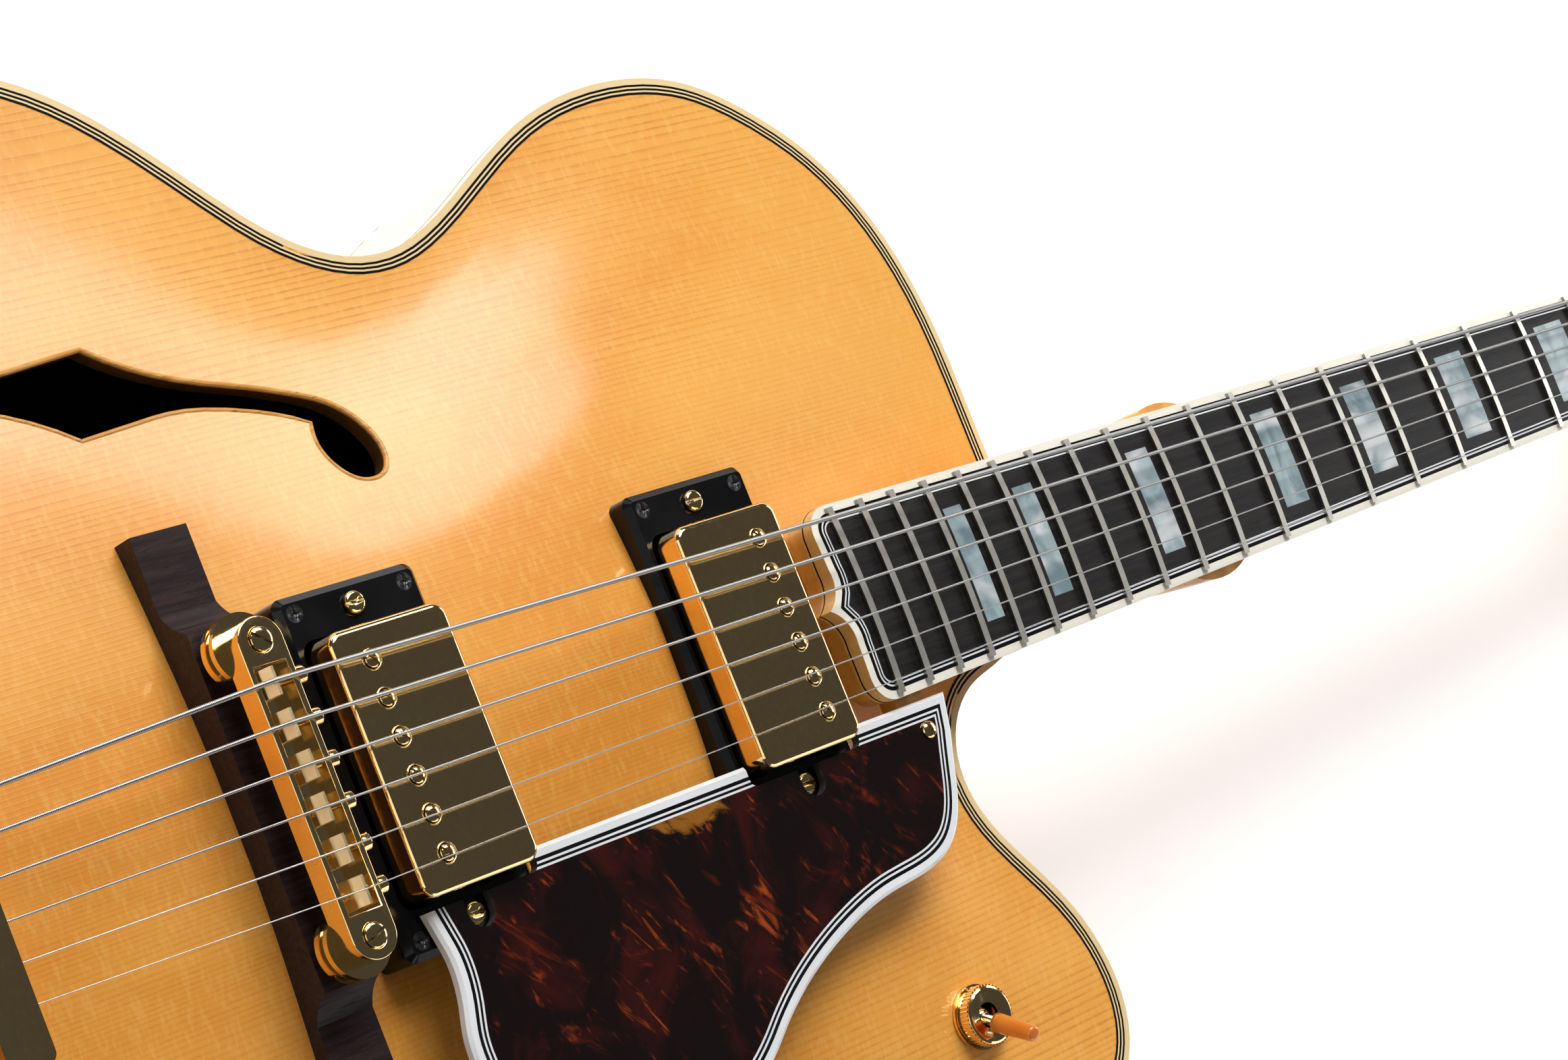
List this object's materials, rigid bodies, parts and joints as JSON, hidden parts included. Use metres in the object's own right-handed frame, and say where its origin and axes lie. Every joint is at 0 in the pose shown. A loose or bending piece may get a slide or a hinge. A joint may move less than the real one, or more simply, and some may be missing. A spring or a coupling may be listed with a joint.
{
  "type": "archtop guitar",
  "caption": "Hollow archtop electric guitar with cutaway, f-holes, floating bridge, tailpiece, humbucking pickups, pickguard, angled headstock and working tuners.",
  "frame": {"origin": "seat of the strap button on the tail, at mid depth of the rims on the centre line", "axes": "+X along the body from the tail towards the headstock, +Y towards the bass side, +Z out of the carved top"},
  "size_m": [1.0841, 0.4424, 0.1513],
  "materials": {
    "spruce": "gloss lacquer",
    "maple": "gloss lacquer",
    "inner_wood": "bare",
    "ebony": "satin oil",
    "rosewood": "satin oil",
    "ivory_plastic": "polished",
    "black_plastic": "polished",
    "tortoiseshell": "polished",
    "pearl": "polished",
    "bone": "satin",
    "gold_plate": "polished gold plate",
    "fret_wire": "polished nickel silver",
    "string_steel": "wound and plain",
    "steel": "plain",
    "coil_black": "plain",
    "amber_plastic": "polished"
  },
  "bodies": {
    "body": {"top_plate": "spruce", "back_plate": "maple", "rims": "maple", "linings": "inner_wood", "end_blocks": "inner_wood", "tone_bars": "inner_wood", "top_binding": "ivory_plastic", "back_binding": "ivory_plastic", "neck": "maple", "truss_rod": "steel", "truss_rod_cover": "black_plastic", "headstock_veneer": "black_plastic", "fingerboard": "ebony", "fingerboard_binding": "ivory_plastic", "frets": "fret_wire", "inlay_blocks": "pearl", "nut": "bone", "tuner_housings": "gold_plate", "bridge_base": "rosewood", "bridge_posts": "gold_plate", "tailpiece": "gold_plate", "strings": "string_steel", "pickguard": "tortoiseshell", "pickguard_bracket": "gold_plate", "pickup_rings": "black_plastic", "pickup_screws": "gold_plate", "pots": "steel", "toggle_switch": "gold_plate", "output_jack": "gold_plate", "strap_buttons": "gold_plate"},
    "tuner_knob_1": {"tuner_knob_1": "gold_plate"},
    "tuner_post_1": {"tuner_post_1": "gold_plate"},
    "tuner_knob_2": {"tuner_knob_2": "gold_plate"},
    "tuner_post_2": {"tuner_post_2": "gold_plate"},
    "tuner_knob_3": {"tuner_knob_3": "gold_plate"},
    "tuner_post_3": {"tuner_post_3": "gold_plate"},
    "tuner_knob_4": {"tuner_knob_4": "gold_plate"},
    "tuner_post_4": {"tuner_post_4": "gold_plate"},
    "tuner_knob_5": {"tuner_knob_5": "gold_plate"},
    "tuner_post_5": {"tuner_post_5": "gold_plate"},
    "tuner_knob_6": {"tuner_knob_6": "gold_plate"},
    "tuner_post_6": {"tuner_post_6": "gold_plate"},
    "bridge": {"bridge_bar": "gold_plate"},
    "thumbwheel_bass": {"thumbwheel_bass": "gold_plate"},
    "thumbwheel_treble": {"thumbwheel_treble": "gold_plate"},
    "saddle_1": {"saddle_1": "gold_plate"},
    "saddle_2": {"saddle_2": "gold_plate"},
    "saddle_3": {"saddle_3": "gold_plate"},
    "saddle_4": {"saddle_4": "gold_plate"},
    "saddle_5": {"saddle_5": "gold_plate"},
    "saddle_6": {"saddle_6": "gold_plate"},
    "neck_pickup": {"neck_pickup_cover": "gold_plate", "neck_pickup_coils": "coil_black"},
    "bridge_pickup": {"bridge_pickup_cover": "gold_plate", "bridge_pickup_coils": "coil_black"},
    "neck_volume_knob": {"neck_volume_knob": "amber_plastic"},
    "neck_tone_knob": {"neck_tone_knob": "amber_plastic"},
    "bridge_volume_knob": {"bridge_volume_knob": "amber_plastic"},
    "bridge_tone_knob": {"bridge_tone_knob": "amber_plastic"},
    "toggle": {"toggle_lever": "amber_plastic"}
  },
  "joints": [
    {"name": "tuner_knob_1_turn", "type": "hinge", "parent": "body", "child": "tuner_knob_1", "pos_m": [0.93178, 0.0225, 0.00038], "axis": [0, 1, 0], "continuous": true},
    {"name": "tuner_post_1_turn", "type": "hinge", "parent": "body", "child": "tuner_post_1", "pos_m": [0.93074, 0.0225, 0.02067], "axis": [0.3057, 0, 0.9521], "continuous": true},
    {"name": "tuner_knob_2_turn", "type": "hinge", "parent": "body", "child": "tuner_knob_2", "pos_m": [0.97177, 0.026, -0.01246], "axis": [0, 1, 0], "continuous": true},
    {"name": "tuner_post_2_turn", "type": "hinge", "parent": "body", "child": "tuner_post_2", "pos_m": [0.97073, 0.026, 0.00783], "axis": [0.3057, 0, 0.9521], "continuous": true},
    {"name": "tuner_knob_3_turn", "type": "hinge", "parent": "body", "child": "tuner_knob_3", "pos_m": [1.01176, 0.0285, -0.0253], "axis": [0, 1, 0], "continuous": true},
    {"name": "tuner_post_3_turn", "type": "hinge", "parent": "body", "child": "tuner_post_3", "pos_m": [1.01072, 0.0285, -0.00501], "axis": [0.3057, 0, 0.9521], "continuous": true},
    {"name": "tuner_knob_4_turn", "type": "hinge", "parent": "body", "child": "tuner_knob_4", "pos_m": [1.01176, -0.0285, -0.0253], "axis": [0, -1, 0], "continuous": true},
    {"name": "tuner_post_4_turn", "type": "hinge", "parent": "body", "child": "tuner_post_4", "pos_m": [1.01072, -0.0285, -0.00501], "axis": [0.3057, 0, 0.9521], "continuous": true},
    {"name": "tuner_knob_5_turn", "type": "hinge", "parent": "body", "child": "tuner_knob_5", "pos_m": [0.97177, -0.026, -0.01246], "axis": [0, -1, 0], "continuous": true},
    {"name": "tuner_post_5_turn", "type": "hinge", "parent": "body", "child": "tuner_post_5", "pos_m": [0.97073, -0.026, 0.00783], "axis": [0.3057, 0, 0.9521], "continuous": true},
    {"name": "tuner_knob_6_turn", "type": "hinge", "parent": "body", "child": "tuner_knob_6", "pos_m": [0.93178, -0.0225, 0.00038], "axis": [0, -1, 0], "continuous": true},
    {"name": "tuner_post_6_turn", "type": "hinge", "parent": "body", "child": "tuner_post_6", "pos_m": [0.93074, -0.0225, 0.02067], "axis": [0.3057, 0, 0.9521], "continuous": true},
    {"name": "bridge_lift", "type": "slide", "parent": "body", "child": "bridge", "axis": [0.0663, 0, 0.9978], "range_m": [-0.0022, 0.0022], "deforming": ["strings"]},
    {"name": "thumbwheel_bass_turn", "type": "hinge", "parent": "bridge", "child": "thumbwheel_bass", "pos_m": [0.24889, 0.0376, 0.07666], "axis": [0.0663, 0, 0.9978], "range_deg": [-1080, 1080]},
    {"name": "thumbwheel_treble_turn", "type": "hinge", "parent": "bridge", "child": "thumbwheel_treble", "pos_m": [0.24889, -0.0376, 0.07666], "axis": [0.0663, 0, 0.9978], "range_deg": [-1080, 1080]},
    {"name": "saddle_1_slide", "type": "slide", "parent": "bridge", "child": "saddle_1", "axis": [0.9978, 0, -0.0663], "range_m": [-0.0003, 0.0051], "deforming": ["strings"]},
    {"name": "saddle_2_slide", "type": "slide", "parent": "bridge", "child": "saddle_2", "axis": [0.9978, 0, -0.0663], "range_m": [-0.0009, 0.0045], "deforming": ["strings"]},
    {"name": "saddle_3_slide", "type": "slide", "parent": "bridge", "child": "saddle_3", "axis": [0.9978, 0, -0.0663], "range_m": [-0.0017, 0.0037], "deforming": ["strings"]},
    {"name": "saddle_4_slide", "type": "slide", "parent": "bridge", "child": "saddle_4", "axis": [0.9978, 0, -0.0663], "range_m": [-0.0011, 0.0043], "deforming": ["strings"]},
    {"name": "saddle_5_slide", "type": "slide", "parent": "bridge", "child": "saddle_5", "axis": [0.9978, 0, -0.0663], "range_m": [-0.002, 0.0034], "deforming": ["strings"]},
    {"name": "saddle_6_slide", "type": "slide", "parent": "bridge", "child": "saddle_6", "axis": [0.9978, 0, -0.0663], "range_m": [-0.0027, 0.0027], "deforming": ["strings"]},
    {"name": "neck_pickup_height", "type": "slide", "parent": "body", "child": "neck_pickup", "axis": [0.0663, 0, 0.9978], "range_m": [-0.004, 0.001]},
    {"name": "bridge_pickup_height", "type": "slide", "parent": "body", "child": "bridge_pickup", "axis": [0.0663, 0, 0.9978], "range_m": [-0.004, 0.001]},
    {"name": "neck_volume_turn", "type": "hinge", "parent": "body", "child": "neck_volume_knob", "pos_m": [0.24277, -0.16731, 0.03548], "axis": [0.0259, -0.0761, 0.9968], "range_deg": [-150, 150]},
    {"name": "neck_tone_turn", "type": "hinge", "parent": "body", "child": "neck_tone_knob", "pos_m": [0.15415, -0.17748, 0.03499], "axis": [-0.0167, -0.0574, 0.9982], "range_deg": [-150, 150]},
    {"name": "bridge_volume_turn", "type": "hinge", "parent": "body", "child": "bridge_volume_knob", "pos_m": [0.19897, -0.17839, 0.03529], "axis": [0.003, -0.0681, 0.9977], "range_deg": [-150, 150]},
    {"name": "bridge_tone_turn", "type": "hinge", "parent": "body", "child": "bridge_tone_knob", "pos_m": [0.11229, -0.15952, 0.03496], "axis": [-0.0322, -0.0531, 0.9981], "range_deg": [-150, 150]},
    {"name": "toggle_tip", "type": "hinge", "parent": "body", "child": "toggle", "pos_m": [0.44605, -0.11907, 0.04621], "axis": [0.9645, -0.2567, -0.0614], "range_deg": [-40, 0]}
  ],
  "couplings": [
    {"joint": "tuner_post_1_turn", "follows": "tuner_knob_1_turn", "ratio": 0.066667},
    {"joint": "tuner_post_2_turn", "follows": "tuner_knob_2_turn", "ratio": 0.066667},
    {"joint": "tuner_post_3_turn", "follows": "tuner_knob_3_turn", "ratio": 0.066667},
    {"joint": "tuner_post_4_turn", "follows": "tuner_knob_4_turn", "ratio": -0.066667},
    {"joint": "tuner_post_5_turn", "follows": "tuner_knob_5_turn", "ratio": -0.066667},
    {"joint": "tuner_post_6_turn", "follows": "tuner_knob_6_turn", "ratio": -0.066667},
    {"joint": "bridge_lift", "follows": "thumbwheel_bass_turn", "m_per_rad": 0.00011141},
    {"joint": "thumbwheel_treble_turn", "follows": "thumbwheel_bass_turn", "ratio": 1}
  ]
}
